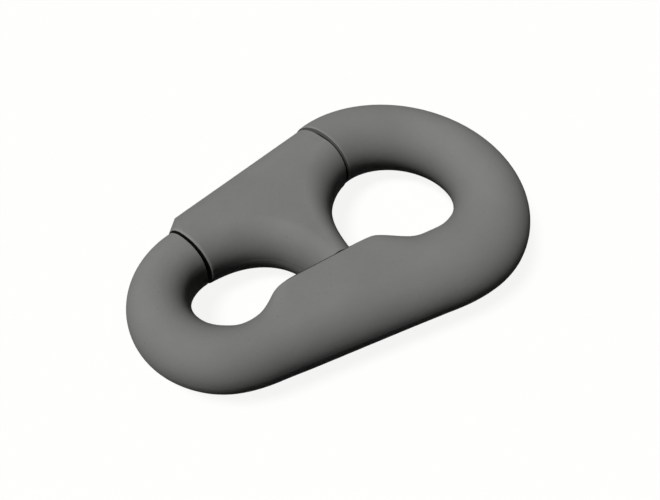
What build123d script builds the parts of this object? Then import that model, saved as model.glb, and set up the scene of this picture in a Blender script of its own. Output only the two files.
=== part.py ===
from build123d import *
import os
from math import asin, cos, degrees, hypot, pi, radians, sin, sqrt, tan

# Pear shaped shackle: a detachable link that joins anchor chain to an anchor.
# A C-shaped forging makes both bows and one straight side. Two T-shaped coupling
# plates, split on the middle plane, make the other side and the stud, and a slanted
# taper pin under a hammered lead plug locks them.
# Millimetres and degrees. +X runs to the large bow, +Z through the thickness, and the
# origin is the middle of the whole link.

# Whole link
overall_length = 562
overall_width = 376

# Bar of the small bow
small_window_radius = 49.5
small_bar_width = 75.5
small_bar_thickness = 80

# Bar of the large bow, which is thinner at its tip than at its sides
large_window_radius = 80
large_tip_width = 91
large_bar_thickness = 93

# Pad on the straight side, where the stud seats. It is as thick as the plates.
pad_start = 74
pad_end = 153
pad_lead_in = 69
pad_run_out = 105
pad_bulge = 24
pad_squareness = 9
seat_reach = 53
seat_slant = 4.3

# Joints between the C-link and the coupling plates. The small one opens toward the window.
small_joint_angle = 96.3
small_joint_slant = 3
small_mouth_slant = 6
large_joint_offset = 28
large_joint_slant = 7
large_joint_reach = 184
small_joint_squareness = 2.4
large_joint_squareness = 2
large_joint_inset = 2.5
large_bow_last_angle = 86
lip_round = 5

# Neck and head on each end of the C-link, held inside the plates
neck_length = 14
small_neck_radius = 20
small_head_radius = 29
small_head_length = 22
large_neck_radius = 25
large_head_radius = 35
large_head_length = 26

# Coupling plates
plate_thickness = 87
plate_small_window_radius = 47.5
plate_large_window_radius = 81.5
plate_small_reach = 142.5
plate_large_reach = 182
bevel_start = 7
bevel_angle = 43.5
stud_left = 96
stud_right = 150
# Where a window's edge turns down the stud, as shares of its reach and radius
small_edge_shape = [(0.55, 0.74), (0.83, 0.26), (0.94, -0.2)]
large_edge_shape = [(0.48, 0.73), (0.76, 0.33), (0.91, -0.11)]
# How far a window's edge runs on past its mouth, and the share of its radius it drops to
window_lead = 36
window_lead_share = 0.95
# Rolled edges, above a narrow upright band on the middle plane
wall_band = 2
bar_roll = 40
stud_roll = 27
roll_change_start = 0.3
roll_change_end = 0.9
side_roll = 48
bevel_roll = 29
mouth_round = 2.5

# Fits
small_joint_gap = 1
large_joint_gap = 0.5
seat_gap = 0.3
head_clearance = 0.4
pin_clearance = 0.1

# Taper pin and the lead plug over its large end
pin_station = 118
pin_slant = 30
pin_mouth_height = 15
pin_large_diameter = 22
pin_small_diameter = 16
pin_end_recess = 1
plug_length = 13
plug_diameter = 25
plug_flare = 2

# Worked out from the sizes above
small_outer = small_window_radius + small_bar_width
large_outer = overall_width / 2
large_tip = large_window_radius + large_tip_width
small_x = small_outer - overall_length / 2
large_x = overall_length / 2 - large_tip
pitch = large_x - small_x
slope = degrees(asin((large_outer - small_outer) / pitch))
side_length = pitch * cos(radians(slope))
large_side_width = large_outer - large_window_radius
half_plate = plate_thickness / 2
# How far a cutting shape runs past what it cuts
over = 12
# Stations of the lofts, and points round a bar section
small_bow_steps = 8
side_steps = 12
large_bow_steps = 10
lip_steps = 2
roll_steps = 8
section_points = 24


def polar(radius, angle):
    return Vector(radius * cos(radians(angle)), radius * sin(radians(angle)))


small_centre = Vector(small_x, 0)
large_centre = Vector(large_x, 0)
side_outward = polar(1, 270 - slope)
side_forward = polar(1, -slope)


def ramp(value, start, end):
    """0 before start, 1 after end, and a smooth S between them."""
    share = min(max((value - start) / (end - start), 0), 1)
    return share * share * (3 - 2 * share)


def steps(start, end, count):
    return [start + (end - start) * step / count for step in range(count + 1)]


def bar_section(half_outer, half_inner, half_thick, squareness):
    """A bar section with its crest over the origin and its outer side at +x.

    The outer side is half an ellipse, and so is the inner side at a squareness of 2.
    """
    turns = steps(0, 2 * pi, section_points)
    points = []
    for turn in turns[:-1]:
        across, rise = cos(turn) * half_outer, sin(turn) * half_thick
        if cos(turn) < 0:
            fullness = abs(cos(turn)) ** squareness + abs(sin(turn)) ** squareness
            across = cos(turn) * half_inner / fullness ** (1 / squareness)
            rise /= fullness ** (1 / squareness)
        points.append(Vector(across, rise))
    # Every section runs at the same pace, which keeps the lofted surfaces light
    add(Edge.make_spline(points, periodic=True, parameters=turns))


def small_bow_station(angle):
    """Plane and sizes of the bar section at an angle round the small bow."""
    half = small_bar_width / 2
    near_joint = 1 - ramp(angle, small_joint_angle, 180)
    squareness = 2 + (small_joint_squareness - 2) * near_joint
    turned = angle + small_joint_slant * near_joint
    plane = Plane(
        origin=small_centre + polar(small_window_radius + half, angle),
        x_dir=polar(1, turned),
        z_dir=polar(1, turned + 90),
    )
    return plane, (half, half, small_bar_thickness / 2, squareness)


def side_station(along):
    """The same on the straight side, at a distance from the end of the small bow."""
    share = along / side_length
    width = small_bar_width + (large_side_width - small_bar_width) * share
    thickness = small_bar_thickness + (large_bar_thickness - small_bar_thickness) * share
    pad = ramp(along, pad_start - pad_lead_in, pad_start)
    pad *= 1 - ramp(along, pad_end, pad_end + pad_run_out)
    thickness += (plate_thickness - thickness) * pad
    outer_edge = small_centre + side_outward * small_outer + side_forward * along
    plane = Plane(
        origin=outer_edge - side_outward * (width / 2),
        x_dir=side_outward,
        z_dir=side_forward,
    )
    squareness = 2 + (pad_squareness - 2) * pad**2
    return plane, (width / 2, width / 2 + pad_bulge * pad, thickness / 2, squareness)


def large_bow_station(angle):
    """The same round the large bow, whose outer edge is drawn in at the tip."""
    reach = large_outer
    if cos(radians(angle)) > 0:
        reach = 1 / hypot(cos(radians(angle)) / large_tip, sin(radians(angle)) / large_outer)
    half = (reach - large_window_radius) / 2
    plane = Plane(
        origin=large_centre + polar(large_window_radius + half, angle),
        x_dir=polar(1, angle),
        z_dir=polar(1, angle + 90),
    )
    return plane, (half, half, large_bar_thickness / 2, 2)


def large_joint_station(turn):
    """The end of the large bow, drawn in round its lip as turn goes from 0 to 90."""
    inner = sqrt(large_window_radius**2 - large_joint_offset**2) + large_joint_inset
    plane = Plane(
        origin=large_centre + Vector(-large_joint_offset, (large_joint_reach + inner) / 2),
        x_dir=polar(1, 90 + large_joint_slant),
        z_dir=polar(1, 180 + large_joint_slant),
    )
    drawn_in = lip_round * (1 - cos(radians(turn)))
    half = (large_joint_reach - inner) / 2 / cos(radians(large_joint_slant)) - drawn_in
    sizes = half, half, large_bar_thickness / 2 - drawn_in, large_joint_squareness
    return plane.offset(lip_round * (sin(radians(turn)) - 1)), sizes


# Joint planes, on the C-link's end faces and facing into the plates
small_end = small_bow_station(small_joint_angle)[0]
small_joint = Plane(origin=small_end.origin, x_dir=small_end.x_dir, z_dir=-small_end.z_dir)
large_joint = large_joint_station(90)[0]
# The plates' face at the small joint, hinged on the outer edge of the C-link's end
small_mouth = Plane(
    origin=small_joint.origin + small_joint.x_dir * small_bar_width / 2,
    x_dir=polar(1, small_joint_angle + small_mouth_slant),
    z_dir=polar(1, small_joint_angle + small_mouth_slant - 90),
)
# Flat seat on the pad, facing the stud
seat = Plane(
    origin=small_centre + Vector((stud_left + stud_right) / 2, -seat_reach),
    x_dir=polar(1, -seat_slant),
    z_dir=polar(1, 90 - seat_slant),
)
joint_heads = [
    (small_joint, small_neck_radius, small_head_radius, small_head_length),
    (large_joint, large_neck_radius, large_head_radius, large_head_length),
]

with BuildPart() as c_link:
    small_bow_angles = steps(small_joint_angle, 270 - slope, small_bow_steps)
    large_bow_angles = steps(-90 - slope, large_bow_last_angle, large_bow_steps)
    stations = [small_bow_station(angle) for angle in small_bow_angles]
    stations += [side_station(along) for along in steps(0, side_length, side_steps)[1:]]
    stations += [large_bow_station(angle) for angle in large_bow_angles[1:]]
    stations.append(large_joint_station(0))
    lip = [large_joint_station(turn) for turn in steps(0, 90, lip_steps)]
    for run in (stations, lip):
        for plane, sizes in run:
            with BuildSketch(plane):
                with BuildLine():
                    bar_section(*sizes)
                make_face()
        loft()
    # Flat seat for the stud
    with BuildSketch(seat):
        Rectangle(stud_left + stud_right, 2 * large_bar_thickness)
    extrude(amount=pad_bulge + over, mode=Mode.SUBTRACT)
    # Neck and head on each end
    for joint, neck_radius, head_radius, head_length in joint_heads:
        with BuildSketch(joint.offset(-over)):
            Circle(neck_radius)
        extrude(amount=over + neck_length + head_length / 2)
        with BuildSketch(joint.offset(neck_length)):
            Circle(head_radius)
        extrude(amount=head_length)


# Plan outline of the plates. The outer side is straight, with a bevel at the small end.
side_start = small_centre + Vector(0, plate_small_reach)
side_end = large_centre + Vector(-large_joint_offset, plate_large_reach)
side_along = (side_end - side_start).normalized()
side_into = Vector(side_along.Y, -side_along.X)
bevel_corner = side_start + side_along * bevel_start
bevel_along = polar(1, bevel_angle)
bevel_into = Vector(bevel_along.Y, -bevel_along.X)
stud_reach = seat_reach + over


def window_edge(centre, side, reach, radius, shape):
    """A plate's edge along a window, from its mouth round to the end of the stud."""
    turns = [Vector(side * across * reach, up * radius) for across, up in shape]
    return Spline(
        centre + Vector(-side * window_lead, window_lead_share * radius),
        centre + Vector(0, radius),
        *[centre + turn for turn in turns],
        centre + Vector(side * reach, -stud_reach),
    )


def edge_plane(point, into):
    """Plane square to an edge of the plates, with x pointing into the plate and y up."""
    return Plane(origin=point, x_dir=into, z_dir=into.cross(Vector(0, 0, 1)))


def window_roll(edge, side):
    """Planes and rolls along a window's edge, tighter on the stud than on the bar."""
    stations = []
    for share in steps(0, 1, roll_steps):
        change = ramp(share, roll_change_start, roll_change_end)
        roll = bar_roll + (stud_roll - bar_roll) * change
        into = (edge % share).rotate(Axis.Z, 90 * side)
        stations.append((edge_plane(edge @ share, into), roll))
    return stations


def straight_roll(corner, along, into, roll):
    """The same along a straight edge, from well before its corner to well past it."""
    ends = (corner + along * pitch, corner - along * pitch)
    return [(edge_plane(end, into), roll) for end in ends]


def roll_outline(roll):
    """What is cut away over a rolled edge, as lines round the cut."""
    arc = EllipticalCenterArc((roll, wall_band), roll, half_plate - wall_band, start_angle=90)
    Polyline(
        arc @ 1,
        (-over, wall_band),
        (-over, half_plate + over),
        (roll, half_plate + over),
        arc @ 0,
    )


with BuildLine() as outline:
    small_edge = window_edge(
        small_centre, 1, stud_left, plate_small_window_radius, small_edge_shape
    )
    large_edge = window_edge(
        large_centre, -1, pitch - stud_right, plate_large_window_radius, large_edge_shape
    )
    Line(small_edge @ 1, large_edge @ 1)
    Polyline(
        small_edge @ 0,
        bevel_corner - bevel_along * window_lead,
        bevel_corner,
        side_end + side_along * window_lead,
        large_edge @ 0,
    )

with BuildPart() as half_plates:
    with BuildSketch():
        add(outline.line)
        make_face()
    extrude(amount=half_plate)
    rolled_edges = [
        window_roll(small_edge, 1),
        window_roll(large_edge, -1),
        straight_roll(bevel_corner, side_along, side_into, side_roll),
        straight_roll(bevel_corner, bevel_along, bevel_into, bevel_roll),
    ]
    for stations in rolled_edges:
        for plane, roll in stations:
            with BuildSketch(plane):
                with BuildLine():
                    roll_outline(roll)
                make_face()
        loft(mode=Mode.SUBTRACT)
    # Faces that meet the C-link
    split(bisect_by=small_mouth.offset(small_joint_gap), keep=Keep.TOP)
    split(bisect_by=large_joint.offset(large_joint_gap), keep=Keep.TOP)
    split(bisect_by=seat.offset(seat_gap), keep=Keep.TOP)

    # Lip round the small mouth, then the cavities for the C-link's heads
    mouth = half_plates.faces().filter_by(small_mouth)[0]
    fillet(mouth.edges().filter_by(lambda edge: edge.center().Z > half_plate / 2), mouth_round)
    for joint, neck_radius, head_radius, head_length in joint_heads:
        with BuildSketch(joint):
            Circle(neck_radius + head_clearance)
        extrude(amount=neck_length, mode=Mode.SUBTRACT)
        with BuildSketch(joint.offset(neck_length - head_clearance)):
            Circle(head_radius + head_clearance)
        extrude(amount=head_length + 2 * head_clearance, mode=Mode.SUBTRACT)

# Slanted bore, from the outer side of the upper plate to the underside of the lower one
mouth_along = pin_station / side_along.X
pin_mouth = side_start + side_along * mouth_along + Vector(0, 0, pin_mouth_height)
pin_frame = Plane(
    origin=pin_mouth,
    x_dir=side_along,
    z_dir=side_into * cos(radians(pin_slant)) - Vector(0, 0, sin(radians(pin_slant))),
)
bore_length = (pin_mouth_height + half_plate) / sin(radians(pin_slant))
# The taper runs on past the underside, where the pin is dressed to the plate's face
end_rim = pin_small_diameter / 2 / tan(radians(pin_slant))
taper_length = bore_length - plug_length + 2 * end_rim
pin_base = (Align.CENTER, Align.CENTER, Align.MIN)

with BuildPart() as taper_pin:
    with Locations(pin_frame.offset(plug_length)):
        Cone(pin_large_diameter / 2, pin_small_diameter / 2, taper_length, align=pin_base)
    split(bisect_by=Plane.XY.offset(pin_end_recess - half_plate), keep=Keep.TOP)

with BuildPart() as plug_pocket:
    with Locations(pin_frame.offset(-over)):
        Cylinder(plug_diameter / 2, over, align=pin_base)
    with Locations(pin_frame):
        Cone(plug_diameter / 2, plug_diameter / 2 + plug_flare, plug_length, align=pin_base)

with BuildPart() as pin_bore:
    add(plug_pocket.part)
    with Locations(pin_frame.offset(plug_length)):
        Cone(
            pin_large_diameter / 2 + pin_clearance,
            pin_small_diameter / 2 + pin_clearance,
            taper_length,
            align=pin_base,
        )

with BuildPart() as lead_plug:
    add(plug_pocket.part)
    add(half_plates.part, mode=Mode.INTERSECT)

with BuildPart() as upper_coupling_plate:
    add(half_plates.part)
    add(pin_bore.part, mode=Mode.SUBTRACT)

with BuildPart() as lower_coupling_plate:
    mirror(half_plates.part, about=Plane.XY)
    add(pin_bore.part, mode=Mode.SUBTRACT)

os.makedirs("parts", exist_ok=True)
c_link.part.label = "c_link"
upper_coupling_plate.part.label = "upper_coupling_plate"
lower_coupling_plate.part.label = "lower_coupling_plate"
taper_pin.part.label = "taper_pin"
lead_plug.part.label = "lead_plug"
export_step(c_link.part, "parts/c_link.step")
export_step(upper_coupling_plate.part, "parts/upper_coupling_plate.step")
export_step(lower_coupling_plate.part, "parts/lower_coupling_plate.step")
export_step(taper_pin.part, "parts/taper_pin.step")
export_step(lead_plug.part, "parts/lead_plug.step")
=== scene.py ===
import math

import bpy
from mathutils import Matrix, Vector


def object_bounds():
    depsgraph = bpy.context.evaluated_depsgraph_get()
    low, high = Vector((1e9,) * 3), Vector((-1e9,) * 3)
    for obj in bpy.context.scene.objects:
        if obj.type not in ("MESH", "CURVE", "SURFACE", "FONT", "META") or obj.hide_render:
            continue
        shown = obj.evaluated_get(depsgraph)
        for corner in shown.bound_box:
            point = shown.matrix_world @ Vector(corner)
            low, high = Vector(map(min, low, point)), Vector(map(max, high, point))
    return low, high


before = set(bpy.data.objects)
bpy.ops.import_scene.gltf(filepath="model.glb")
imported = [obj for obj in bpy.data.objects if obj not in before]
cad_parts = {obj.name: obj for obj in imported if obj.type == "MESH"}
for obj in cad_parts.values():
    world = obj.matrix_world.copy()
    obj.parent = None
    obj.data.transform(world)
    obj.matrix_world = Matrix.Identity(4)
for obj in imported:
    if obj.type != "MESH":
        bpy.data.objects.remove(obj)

cad_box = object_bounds()

# Pear shaped shackle for anchor chain, in metres and degrees. +X runs to the large bow and
# +Z is up.

# Camera, at the photograph's angle
CAMERA_PLACE = Vector((-0.3775, -0.4606, 0.6622))
CAMERA_TARGET = Vector((-0.01645, -0.0152, 0.0))
SENSOR_WIDTH = 36.0
LENS = 37.33
CLIP_START = 0.01

# Light: one broad lamp over the small bow, and a little light from all round
LAMP_FROM = Vector((-0.42, 0.09, 0.903))
LAMP_STRENGTH = 3.3
LAMP_ANGLE = 20.0
FILL = 0.008

# Floor: nearly white where the camera sees it, and dark for light that bounces off it
FLOOR_HALF = 6.0
FLOOR_COLOUR = (0.998, 0.998, 0.985)
FLOOR_GLOW = 0.9
FLOOR_DARK = (0.02, 0.02, 0.02)

# Noise patterns run from 0 to 1, and most of their values lie in this range.
NOISE_RANGE = (0.3, 0.7)

# Matte grey coating on the forgings. Each one has its own place in the patterns, so that no
# two look alike. A relief is a depth in metres and a strength.
LINK_SHIFT = (0.0, 0.0, 0.0)
UPPER_SHIFT = (1.7, 0.4, 2.9)
LOWER_SHIFT = (3.1, 2.6, 0.8)
COAT_COLOUR = (0.202, 0.202, 0.194)
COAT_SPECULAR = 0.02
COAT_ROUGHNESS = (0.72, 0.86)

# Soft mottling
MOTTLE_SCALE = 16.0
MOTTLE_TONES = (0.96, 1.04)

# Fine scale under the coating
GRAIN_SCALE = 520.0
GRAIN_DETAIL = 5.0
GRAIN_ROUGHNESS = 0.6
GRAIN_TONES = (-0.035, 0.035)
GRAIN_RELIEF = (0.0002, 0.4)

# Hammer marks
HAMMER_SCALE = 60.0
HAMMER_DETAIL = 2.0
HAMMER_RELIEF = (0.0006, 0.3)

# Small pits, which lie only on patches of the surface. A pit fades over PIT_EDGE from its
# centre, in cell sizes, and a patch rises over the PATCH_EDGE part of a noise pattern.
PIT_SCALE = 95.0
PIT_EDGE = (0.05, 0.16)
PIT_DARKNESS = 0.12
PIT_RELIEF = (0.0003, 0.5)
PATCH_SCALE = 32.0
PATCH_DETAIL = 1.0
PATCH_EDGE = (0.5, 0.6)

# Turned steel of the taper pin, with rings along its slanted axis
PIN_COLOUR = (0.36, 0.36, 0.35)
PIN_TONES = (0.8, 1.1)
PIN_ROUGHNESS = (0.38, 0.52)
PIN_SLANT = 30.0
PIN_FILM_SCALE = 90.0
RING_SCALE = 260.0
RING_DISTORTION = 0.6
RING_DETAIL = 2.0
RING_RELIEF = (0.0001, 0.5)

# Hammered lead over the pin
LEAD_COLOUR = (0.15, 0.152, 0.155)
LEAD_METALLIC = 0.6
LEAD_SPECULAR = 0.3
LEAD_ROUGHNESS = (0.55, 0.7)
DENT_SCALE = 170.0
DENT_RANGE = (0.1, 0.6)
DENT_TONES = (0.85, 1.1)
DENT_RELIEF = (0.0012, 0.7)
LEAD_FILM_SCALE = 220.0
LEAD_FILM_DETAIL = 4.0
LEAD_FILM_TONES = (-0.1, 0.1)


def level(degrees):
    """The level direction at an angle from +X."""
    angle = math.radians(degrees)
    return (math.cos(angle), math.sin(angle), 0.0)


# Darker tones in the seams, most of them painted shade where shade falls in the gaps between
# parts.
# A seam is an upright strip through its centre that faces a direction. Its darkening is full up to
# one distance from the strip and gone at another, where a painted highlight on the lip may start
# and fade over its own width. The darker tone and the highlight tone are what these leave, against
# 1 on the rest of the coating.
PAINTED_HIGHLIGHT_WIDTH = 0.004

# Small joint, on the plates: painted shade for the black gap at the mouth, and a painted highlight
# on the lip beyond it
SMALL_MOUTH = dict(
    centre=(-0.1717, 0.1240, 0.0),
    facing=level(12.3),
    half_width=0.12,
    full=0.0011,
    end=0.0013,
    shade_and_dirt=0.03,
    painted_highlight=1.3,
)

# Large joint, on the plates: a line of painted shade at the joint
LARGE_CENTRE = (0.0820, 0.1307, 0.0)
LARGE_JOINT = dict(
    centre=LARGE_CENTRE,
    facing=level(-173.0),
    half_width=0.08,
    full=0.0005,
    end=0.0012,
    shade_and_dirt=0.3,
)

# Large joint, on the C-link: painted shade over the gap with a painted highlight on the lip, and a
# thin black line of painted shade at its foot
LARGE_GAP = dict(
    centre=(0.0766, 0.1744, 0.0),
    facing=level(-171.0),
    half_width=0.11,
    full=0.0024,
    end=0.0030,
    shade_and_dirt=0.3,
    painted_highlight=1.25,
)
LARGE_FOOT = dict(
    centre=LARGE_CENTRE,
    facing=level(-170.0),
    half_width=0.08,
    full=0.0005,
    end=0.0009,
    shade_and_dirt=0.1,
)

# Seam between the stud and its pad, on the plates and on the C-link: a line of painted shade
SEAT = dict(
    centre=(-0.0330, -0.0530, 0.0),
    facing=level(85.7),
    half_width=0.055,
    full=0.0004,
    end=0.0012,
    shade_and_dirt=0.3,
)
PAD = dict(
    centre=(-0.0619, -0.0508, 0.0),
    facing=level(85.7),
    half_width=0.046,
    full=0.0008,
    end=0.0014,
    shade_and_dirt=0.2,
)

# Line between the two plates, which faces up and has no ends
PARTING = dict(
    centre=(0.0, 0.0, 0.0),
    facing=(0.0, 0.0, 1.0),
    half_width=0.0,
    full=0.0001,
    end=0.0006,
    shade_and_dirt=0.6,
)

# Dirt round the lead plug: a tube about its axis that reaches some way inward
PLUG_RIM = dict(
    centre=(-0.038, 0.1621, 0.015),
    axis=(0.1418, -0.8543, -0.5),
    radius=0.0130,
    inward=0.012,
    full=0.0006,
    end=0.0012,
    shade_and_dirt=0.3,
)

LINK_SEAMS = [LARGE_GAP, LARGE_FOOT, PAD]
PLATE_SEAMS = [SMALL_MOUTH, LARGE_JOINT, SEAT, PARTING]
PLATE_RIMS = [PLUG_RIM]


class Nodes:
    """The node tree of a material or a world, with one short call for each kind of node."""

    def __init__(self, owner):
        owner.use_nodes = True
        self.owner = owner
        self.tree = owner.node_tree
        self.tree.nodes.clear()

    def add(self, kind, values=None, **settings):
        """A node with its settings, and with a value or a link on each named socket."""
        node = self.tree.nodes.new(kind)
        for setting, value in settings.items():
            setattr(node, setting, value)
        for socket, value in (values or {}).items():
            if isinstance(value, bpy.types.NodeSocket):
                self.tree.links.new(value, node.inputs[socket])
            else:
                node.inputs[socket].default_value = value
        return node

    def place(self, shift=(0.0, 0.0, 0.0), turn=(0.0, 0.0, 0.0)):
        """Where a point is in the object's frame, moved and turned for a pattern."""
        values = {
            "Vector": self.add("ShaderNodeTexCoord").outputs["Object"],
            "Location": shift,
            "Rotation": turn,
        }
        return self.add("ShaderNodeMapping", values).outputs["Vector"]

    def noise(self, place, scale, detail=3.0, roughness=0.5):
        """A cloudy pattern from 0 to 1."""
        values = {"Vector": place, "Scale": scale, "Detail": detail, "Roughness": roughness}
        return self.add("ShaderNodeTexNoise", values).outputs["Fac"]

    def cells(self, place, scale, **settings):
        """Distance from the nearest of a scatter of points, in cell sizes."""
        values = {"Vector": place, "Scale": scale}
        return self.add("ShaderNodeTexVoronoi", values, **settings).outputs["Distance"]

    def spread(self, value, low, high, new_low=0.0, new_high=1.0):
        """Stretches the part of a value from low to high over a new range."""
        values = {
            "Value": value,
            "From Min": low,
            "From Max": high,
            "To Min": new_low,
            "To Max": new_high,
        }
        return self.add("ShaderNodeMapRange", values).outputs["Result"]

    def maths(self, operation, *values):
        """The number that a sum on numbers gives."""
        node = self.add("ShaderNodeMath", dict(enumerate(values)), operation=operation)
        return node.outputs["Value"]

    def vectors(self, operation, *values, output="Vector"):
        """The vector or number that a sum on vectors gives."""
        node = self.add("ShaderNodeVectorMath", dict(enumerate(values)), operation=operation)
        return node.outputs[output]

    def reach(self, away, direction):
        """How far a point lies along a direction, to either side."""
        return self.maths("ABSOLUTE", self.vectors("DOT_PRODUCT", away, direction, output="Value"))

    def beyond(self, distance, limit):
        """By how much a distance is past its limit."""
        return self.maths("MAXIMUM", self.maths("SUBTRACT", distance, limit), 0.0)

    def seam(self, centre, facing, half_width, full, end, shade_and_dirt, painted_highlight=1.0):
        """The tone beside a straight seam: painted shade near it and a painted highlight past
        that, and 1 away from it.
        """
        along = (-facing[1], facing[0], 0.0)
        away = self.vectors("SUBTRACT", self.place(), centre)
        aside = self.beyond(self.reach(away, along), half_width)
        distance = self.maths("ADD", self.reach(away, facing), aside)
        edge = self.spread(distance, end, end + PAINTED_HIGHLIGHT_WIDTH, painted_highlight, 1.0)
        return self.maths("MULTIPLY", self.spread(distance, full, end, shade_and_dirt, 1.0), edge)

    def rim(self, centre, axis, radius, inward, full, end, shade_and_dirt):
        """The tone beside a round seam about an axis, and 1 away from it."""
        away = self.vectors("SUBTRACT", self.place(), centre)
        across = self.vectors("CROSS_PRODUCT", away, axis)
        from_axis = self.vectors("LENGTH", across, output="Value")
        from_tube = self.maths("ABSOLUTE", self.maths("SUBTRACT", from_axis, radius))
        distance = self.maths("ADD", from_tube, self.beyond(self.reach(away, axis), inward))
        return self.spread(distance, full, end, shade_and_dirt, 1.0)

    def tinted(self, colour, tone):
        """A colour times a tone that varies over the surface."""
        values = {0: colour, "Scale": tone}
        return self.add("ShaderNodeVectorMath", values, operation="SCALE").outputs["Vector"]

    def bump(self, height, depth, strength, under=None):
        """Relief whose height from 0 to 1 is depth metres, over another relief."""
        values = {"Height": height, "Distance": depth, "Strength": strength}
        if under:
            values["Normal"] = under
        return self.add("ShaderNodeBump", values).outputs["Normal"]

    def seen_or_mirrored(self):
        """1 for rays from the camera, a mirror or glass, and 0 for light that bounces."""
        path = self.add("ShaderNodeLightPath").outputs
        seen = self.maths("MAXIMUM", path["Is Camera Ray"], path["Is Glossy Ray"])
        return self.maths("MAXIMUM", seen, path["Is Transmission Ray"])

    def switched(self, bounced, shown):
        """One shader for light that bounces, and another for what the camera sees."""
        values = {0: self.seen_or_mirrored(), 1: bounced, 2: shown}
        return self.add("ShaderNodeMixShader", values).outputs["Shader"]

    def finish(self, shader, output="ShaderNodeOutputMaterial"):
        """The material or world itself, with the shader on its output."""
        self.add(output, {"Surface": shader})
        return self.owner


def forged_steel(name, shift, seams, rims=()):
    """Matte coating on forged steel: soft mottling, hammer marks, fine scale and small pits."""
    nodes = Nodes(bpy.data.materials.new(name))
    place = nodes.place(shift)
    mottle = nodes.noise(place, MOTTLE_SCALE)
    grain = nodes.noise(place, GRAIN_SCALE, GRAIN_DETAIL, GRAIN_ROUGHNESS)
    hammer = nodes.noise(place, HAMMER_SCALE, HAMMER_DETAIL)
    pits = nodes.spread(nodes.cells(place, PIT_SCALE), *PIT_EDGE, 1.0, 0.0)
    patches = nodes.spread(nodes.noise(place, PATCH_SCALE, PATCH_DETAIL), *PATCH_EDGE)
    pits = nodes.maths("MULTIPLY", pits, patches)

    tone = nodes.maths(
        "ADD",
        nodes.spread(mottle, *NOISE_RANGE, *MOTTLE_TONES),
        nodes.spread(grain, *NOISE_RANGE, *GRAIN_TONES),
    )
    tone = nodes.maths("SUBTRACT", tone, nodes.maths("MULTIPLY", pits, PIT_DARKNESS))
    # The seams add painted shade, with painted highlights on two lips; the rims add dirt round the
    # plug.
    for seam in seams:
        tone = nodes.maths("MULTIPLY", tone, nodes.seam(**seam))
    for rim in rims:
        tone = nodes.maths("MULTIPLY", tone, nodes.rim(**rim))
    relief = nodes.bump(hammer, *HAMMER_RELIEF)
    relief = nodes.bump(grain, *GRAIN_RELIEF, relief)
    relief = nodes.bump(nodes.maths("SUBTRACT", 1.0, pits), *PIT_RELIEF, relief)
    shader = nodes.add(
        "ShaderNodeBsdfPrincipled",
        {
            "Base Color": nodes.tinted(COAT_COLOUR, tone),
            "Roughness": nodes.spread(grain, *NOISE_RANGE, *COAT_ROUGHNESS),
            "Specular IOR Level": COAT_SPECULAR,
            "Normal": relief,
        },
    )
    return nodes.finish(shader.outputs["BSDF"])


def turned_steel(name):
    """Bare steel with fine rings round the pin's axis and a dull, uneven film."""
    nodes = Nodes(bpy.data.materials.new(name))
    place = nodes.place(turn=(math.radians(PIN_SLANT), 0.0, 0.0))
    film = nodes.noise(place, PIN_FILM_SCALE)
    rings = nodes.add(
        "ShaderNodeTexWave",
        {
            "Vector": place,
            "Scale": RING_SCALE,
            "Distortion": RING_DISTORTION,
            "Detail": RING_DETAIL,
        },
        bands_direction="Y",
    ).outputs["Fac"]
    shader = nodes.add(
        "ShaderNodeBsdfPrincipled",
        {
            "Base Color": nodes.tinted(PIN_COLOUR, nodes.spread(film, *NOISE_RANGE, *PIN_TONES)),
            "Metallic": 1.0,
            "Roughness": nodes.spread(film, *NOISE_RANGE, *PIN_ROUGHNESS),
            "Normal": nodes.bump(rings, *RING_RELIEF),
        },
    )
    return nodes.finish(shader.outputs["BSDF"])


def hammered_lead(name):
    """Dull lead with overlapping dents and a darker skin in the hollows."""
    nodes = Nodes(bpy.data.materials.new(name))
    place = nodes.place()
    dents = nodes.cells(place, DENT_SCALE, feature="SMOOTH_F1")
    film = nodes.noise(place, LEAD_FILM_SCALE, LEAD_FILM_DETAIL)
    tone = nodes.maths(
        "ADD",
        nodes.spread(dents, *DENT_RANGE, *DENT_TONES),
        nodes.spread(film, *NOISE_RANGE, *LEAD_FILM_TONES),
    )
    shader = nodes.add(
        "ShaderNodeBsdfPrincipled",
        {
            "Base Color": nodes.tinted(LEAD_COLOUR, tone),
            "Metallic": LEAD_METALLIC,
            "Roughness": nodes.spread(film, *NOISE_RANGE, *LEAD_ROUGHNESS),
            "Specular IOR Level": LEAD_SPECULAR,
            "Normal": nodes.bump(dents, *DENT_RELIEF),
        },
    )
    return nodes.finish(shader.outputs["BSDF"])


def floor_material():
    """Pale to the eye, with the object's shadow on it, and dark to light that bounces."""
    nodes = Nodes(bpy.data.materials.new("floor"))
    pale = (*FLOOR_COLOUR, 1.0)
    lit = nodes.add("ShaderNodeBsdfDiffuse", {"Color": pale})
    glow = nodes.add("ShaderNodeEmission", {"Color": pale})
    dark = nodes.add("ShaderNodeBsdfDiffuse", {"Color": (*FLOOR_DARK, 1.0)})
    shown = nodes.add(
        "ShaderNodeMixShader", {0: FLOOR_GLOW, 1: lit.outputs[0], 2: glow.outputs[0]}
    )
    return nodes.finish(nodes.switched(dark.outputs[0], shown.outputs[0]))


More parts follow.
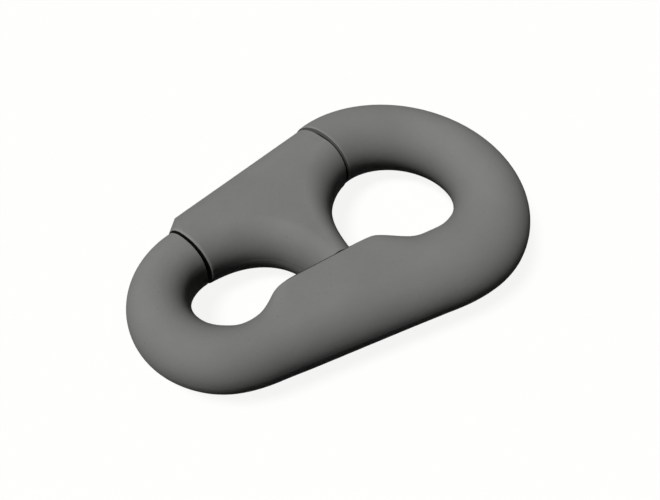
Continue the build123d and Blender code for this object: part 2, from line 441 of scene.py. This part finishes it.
def studio_world():
    """White to the eye, and a little light from all round."""
    nodes = Nodes(bpy.data.worlds.new("studio"))
    fill = nodes.add("ShaderNodeBackground", {"Strength": FILL})
    white = nodes.add("ShaderNodeBackground", {"Color": (*FLOOR_COLOUR, 1.0)})
    shader = nodes.switched(fill.outputs[0], white.outputs[0])
    return nodes.finish(shader, "ShaderNodeOutputWorld")


def put_on(node, material):
    """Gives a CAD node one material."""
    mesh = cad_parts[node].data
    mesh.materials.clear()
    mesh.materials.append(material)


def link(name, data):
    """A new object in the scene."""
    new_object = bpy.data.objects.new(name, data)
    bpy.context.scene.collection.objects.link(new_object)
    return new_object


def facing_back(direction):
    """The turn of a lamp or a camera that looks against a direction."""
    return direction.to_track_quat("Z", "Y").to_euler()


put_on("c_link", forged_steel("c_link_coat", LINK_SHIFT, LINK_SEAMS))
put_on("upper_coupling_plate", forged_steel("upper_coat", UPPER_SHIFT, PLATE_SEAMS, PLATE_RIMS))
put_on("lower_coupling_plate", forged_steel("lower_coat", LOWER_SHIFT, PLATE_SEAMS, PLATE_RIMS))
put_on("taper_pin", turned_steel("turned_steel"))
put_on("lead_plug", hammered_lead("hammered_lead"))

floor_height = cad_box[0].z
corners = [(-1, -1), (1, -1), (1, 1), (-1, 1)]
floor_points = [(x * FLOOR_HALF, y * FLOOR_HALF, floor_height) for x, y in corners]
floor_mesh = bpy.data.meshes.new("floor")
floor_mesh.from_pydata(floor_points, [], [(0, 1, 2, 3)])
floor_mesh.materials.append(floor_material())
floor = link("floor", floor_mesh)

bpy.context.scene.world = studio_world()

lamp_data = bpy.data.lights.new("overhead", "SUN")
lamp_data.energy = LAMP_STRENGTH
lamp_data.angle = math.radians(LAMP_ANGLE)
lamp = link("overhead", lamp_data)
lamp.rotation_euler = facing_back(LAMP_FROM)

camera_data = bpy.data.cameras.new("camera")
camera_data.sensor_width = SENSOR_WIDTH
camera_data.sensor_fit = "HORIZONTAL"
camera_data.lens = LENS
camera_data.clip_start = CLIP_START
camera = link("camera", camera_data)
camera.location = CAMERA_PLACE
camera.rotation_euler = facing_back(CAMERA_PLACE - CAMERA_TARGET)
bpy.context.scene.camera = camera
bpy.context.scene.view_settings.view_transform = "Standard"
